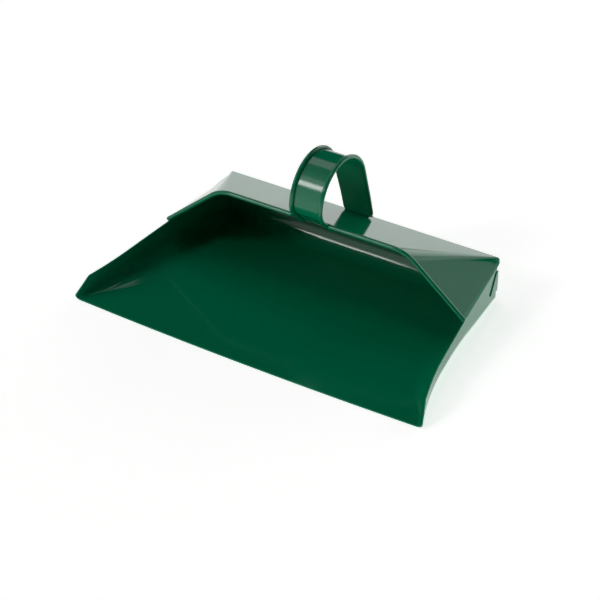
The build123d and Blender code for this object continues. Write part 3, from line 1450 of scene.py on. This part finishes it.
    def narrow_leg(self, strap: bpy.types.Object, loop: Circle, hood: Hood) -> None:
        """Narrows the strap's rear leg on its left side, from the top of the loop to the foot.

        Args:
            strap: The curled stretch of the strap.
            loop: Guide circle of the loop.
            hood: The hood that carries the handle.
        """
        middle = place(0, loop[0], loop[1] + loop[2])
        drop = middle.z - hood.rear_height * MM
        for vertex in strap.data.vertices:
            if vertex.co.x < 0 and vertex.co.y > middle.y:
                share = min(1.0, max(0.0, (middle.z - vertex.co.z) / drop))
                slim = self.narrowing / (self.width / 2) * share * share * (3 - 2 * share)
                vertex.co.x *= 1 - slim

    def round_end(self, strap: bpy.types.Object, points: Sequence[Vector], length: float) -> None:
        """Rounds the corners in which the curled strap ends at its rear foot.

        Args:
            strap: The curled stretch of the strap.
            points: The strap's line.
            length: Running length at which the curls end, in metres.
        """
        run = 0.0
        for first, second in zip(points, points[1:]):
            run += (second - first).length
            if run >= length - MERGE_GAP:
                break
        ahead = (second - first).normalized()
        radius = self.end_round * MM
        near = 3 * radius
        for vertex in strap.data.vertices:
            offset = vertex.co - second
            left = radius + offset.dot(ahead)
            if left > 0 and Vector((offset.y, offset.z)).length < near:
                shift = radius - math.sqrt(max(0.0, radius * radius - left * left))
                vertex.co.x *= 1 - shift / (self.width / 2 * MM)

    def length_at(self, points: Sequence[Vector], target: Vector) -> float:
        """Running length along the line to its point nearest to a target.

        Args:
            points: The line.
            target: Point on or beside it.

        Returns:
            The length in metres.
        """
        run, best, found = 0.0, math.inf, 0.0
        for number, point in enumerate(points):
            if number:
                run += (point - points[number - 1]).length
            if (point - target).length < best:
                best, found = (point - target).length, run
        return found


@dataclass(frozen=True)
class Card:
    """White card or softbox of the studio, with soft edges, as the object sees it.

    Angles are in degrees: azimuth counter-clockwise from the right (+X), elevation from the table.
    """

    name: str
    azimuth: float
    half_width: float
    elevation: float
    half_height: float
    edge: float
    radiance: float

    def span(
        self, tree: bpy.types.NodeTree, angle: bpy.types.NodeSocket, middle: float, half: float
    ) -> bpy.types.NodeSocket:
        """Share of the card's light across one of its two directions.

        Args:
            tree: The room's node tree.
            angle: Azimuth or elevation of the direction looked in.
            middle: The card's middle in that angle.
            half: Its half-width in that angle.

        Returns:
            1 on the card and 0 beyond its soft edge.
        """
        offset = add_node(tree, "ShaderNodeMath", {0: angle, 1: middle}, operation="SUBTRACT")
        limits = {0: offset.outputs[0], 1: HALF_TURN, 2: -HALF_TURN}
        turn = add_node(tree, "ShaderNodeMath", limits, operation="WRAP")
        away = add_node(tree, "ShaderNodeMath", {0: turn.outputs[0]}, operation="ABSOLUTE")
        share = add_node(tree, "ShaderNodeMapRange", {
            "Value": away.outputs[0],
            "From Min": half + self.edge / 2,
            "From Max": half - self.edge / 2,
        }, interpolation_type="SMOOTHSTEP")
        return share.outputs["Result"]

    def shine(
        self, tree: bpy.types.NodeTree, azimuth: bpy.types.NodeSocket, elevation: bpy.types.NodeSocket
    ) -> bpy.types.NodeSocket:
        """Adds the card to the room's light.

        Args:
            tree: The room's node tree.
            azimuth: Azimuth of the direction looked in.
            elevation: Its elevation.

        Returns:
            The card's radiance in that direction.
        """
        across = self.span(tree, azimuth, self.azimuth, self.half_width)
        upright = self.span(tree, elevation, self.elevation, self.half_height)
        both = add_node(tree, "ShaderNodeMath", {0: across, 1: upright}, operation="MULTIPLY")
        lit = {0: both.outputs[0], 1: self.radiance}
        light = add_node(tree, "ShaderNodeMath", lit, operation="MULTIPLY")
        return light.outputs[0]


@dataclass
class Studio:
    """White table, a ring of soft cards in a dark room, a plain backdrop and the camera."""

    # The camera: its place in mm from the lip, the way it looks, its lens and its sensor in mm.
    camera_from_lip: tuple[float, float, float] = (658.5, -960.4, 840.5)
    look: tuple[float, float, float] = (-0.4427, 0.7002, -0.5602)
    lens: float = 117.5
    sensor: float = 36.0
    # The table and the backdrop, in metres; the table lies a little under the pan's floor.
    table_size: float = 9.0
    table_drop: float = 0.1 * MM
    table_white: str = "#f2f2f0"
    table_glow: float = 0.7
    backdrop_radius: float = 3.2
    backdrop_height: float = 1.4
    backdrop_sides: int = 64
    backdrop_unlit: str = "#000000"
    backdrop_glow: float = 1.3
    matt: float = 0.9
    # The light that the dark room gives beside the cards.
    room_glow: float = 0.004

    def cards(self) -> list[Card]:
        """Cards and softboxes of the studio."""
        # Name, azimuth and half-width, elevation and half-height, soft edge, radiance.
        return [
            Card("softbox", 235.8, 5.0, 32.8, 5.5, 7.0, 13.0),
            Card("softbox wash", 230.0, 6.0, 45.0, 5.0, 13.0, 1.7),
            Card("left bank", 189.8, 41.4, 35.3, 20.2, 12.8, 0.5),
            Card("low left card", 244.5, 5.6, 12.2, 16.0, 4.8, 0.85),
            Card("ceiling card", 190.0, 35.0, 60.0, 5.0, 8.0, 0.3),
            Card("zenith card", 200.0, 60.0, 81.0, 4.0, 4.0, 3.2),
            Card("rear left top", 142.0, 20.0, 57.0, 10.0, 5.0, 1.2),
            Card("rear wall", 86.0, 22.0, 11.5, 16.0, 7.0, 1.9),
            Card("right rear panel", 60.0, 14.0, 24.0, 17.0, 5.0, 0.8),
            Card("right light", 330.0, 8.0, 62.0, 6.0, 6.0, 2.5),
            Card("rear lamp", 114.0, 5.0, 60.5, 5.0, 2.5, 1.0),
            Card("high lamp", 78.0, 8.0, 73.0, 2.0, 2.5, 2.5),
        ]

    def camera(self) -> None:
        """Puts the camera where the photograph was taken from."""
        data = bpy.data.cameras.new("camera")
        data.lens = self.lens
        data.sensor_width = self.sensor
        camera = new_object("camera", data)
        camera.location = place(*self.camera_from_lip)
        camera.rotation_mode = "QUATERNION"
        camera.rotation_quaternion = Vector(self.look).to_track_quat("-Z", "Y")
        bpy.context.scene.camera = camera

    def glowing(self, name: str, colour: str, glow: float) -> bpy.types.Material:
        """Matt surface that gives white light of its own.

        Args:
            name: Name of the material.
            colour: Colour of the surface itself.
            glow: Strength of its own light.

        Returns:
            The material.
        """
        material = bpy.data.materials.new(name)
        tree = empty_tree(material)
        shader = add_node(tree, "ShaderNodeBsdfPrincipled", {
            "Base Color": linear(colour),
            "Roughness": self.matt,
            "Specular IOR Level": 0.0,
            "Emission Color": linear(WHITE),
            "Emission Strength": glow,
        })
        add_node(tree, "ShaderNodeOutputMaterial", {"Surface": shader.outputs[0]})
        return material

    def table(self) -> bpy.types.Object:
        """Pale table that the pan stands on, lit from below as well.

        Returns:
            The table's object.
        """
        half = self.table_size / 2
        plan = ((-half, -half), (half, -half), (half, half), (-half, half))
        corners = [Vector((x, y, -self.table_drop)) for x, y in plan]
        mesh = mesh_of("table", corners, [(0, 1, 2, 3)])
        table = new_object("table", mesh)
        mesh.materials.append(self.glowing("lit white acrylic table", self.table_white, self.table_glow))
        return table

    def backdrop(self) -> bpy.types.Object:
        """Round white backdrop behind the object; it gives the object no light.

        Returns:
            The backdrop's object.
        """
        circle = ring(self.backdrop_radius, self.backdrop_sides)
        heights = (-self.table_drop, self.backdrop_height)
        points = [Vector((x, y, z)) for z in heights for x, y in circle]
        mesh = mesh_of("backdrop", points, ring_faces(len(heights), self.backdrop_sides))
        backdrop = new_object("backdrop", mesh)
        mesh.materials.append(self.glowing("white backdrop paper", self.backdrop_unlit, self.backdrop_glow))
        backdrop.visible_diffuse = False
        backdrop.visible_glossy = False
        backdrop.visible_shadow = False
        return backdrop

    def light(self) -> None:
        """Lights the room with the cards."""
        world = bpy.data.worlds.new("studio room")
        tree = empty_tree(world)
        direction = add_node(tree, "ShaderNodeTexCoord").outputs["Generated"]
        parts = add_node(tree, "ShaderNodeSeparateXYZ", {"Vector": direction}).outputs
        turn = add_node(tree, "ShaderNodeMath", {0: parts["Y"], 1: parts["X"]}, operation="ARCTAN2")
        rise = add_node(tree, "ShaderNodeMath", {0: parts["Z"]}, operation="ARCSINE")
        azimuth = add_node(tree, "ShaderNodeMath", {0: turn.outputs[0]}, operation="DEGREES")
        elevation = add_node(tree, "ShaderNodeMath", {0: rise.outputs[0]}, operation="DEGREES")
        total: bpy.types.NodeSocket | float = self.room_glow
        for card in self.cards():
            shine = card.shine(tree, azimuth.outputs[0], elevation.outputs[0])
            total = add_node(tree, "ShaderNodeMath", {0: total, 1: shine}, operation="ADD").outputs[0]
            log.info("card %s: radiance %.2f", card.name, card.radiance)
        room = add_node(tree, "ShaderNodeBackground", {"Color": linear(WHITE), "Strength": total})
        add_node(tree, "ShaderNodeOutputWorld", {"Surface": room.outputs[0]})
        bpy.context.scene.world = world
        bpy.context.scene.view_settings.view_transform = "Standard"

    def build(self) -> None:
        """Sets up the whole studio."""
        self.camera()
        self.light()
        self.table()
        self.backdrop()


def main() -> None:
    """Builds the studio and the three pieces."""
    logging.basicConfig(level=logging.INFO, format="%(name)s %(message)s", stream=sys.stdout)
    Studio().build()
    enamel = StoveEnamel()
    hood = Hood()
    pieces = [
        Pan().build(enamel.material("green stove enamel, pan")),
        hood.build(enamel.material("green stove enamel, hood"), wired_rim_tree(), spot_weld_tree()),
        Handle().build(enamel.material("green stove enamel, handle"), hood, rolled_sheet_tree()),
    ]
    for piece in pieces:
        mesh = piece.data
        log.info("%s: %d vertices, %d faces", piece.name, len(mesh.vertices), len(mesh.polygons))


if __name__ == "__main__":
    main()
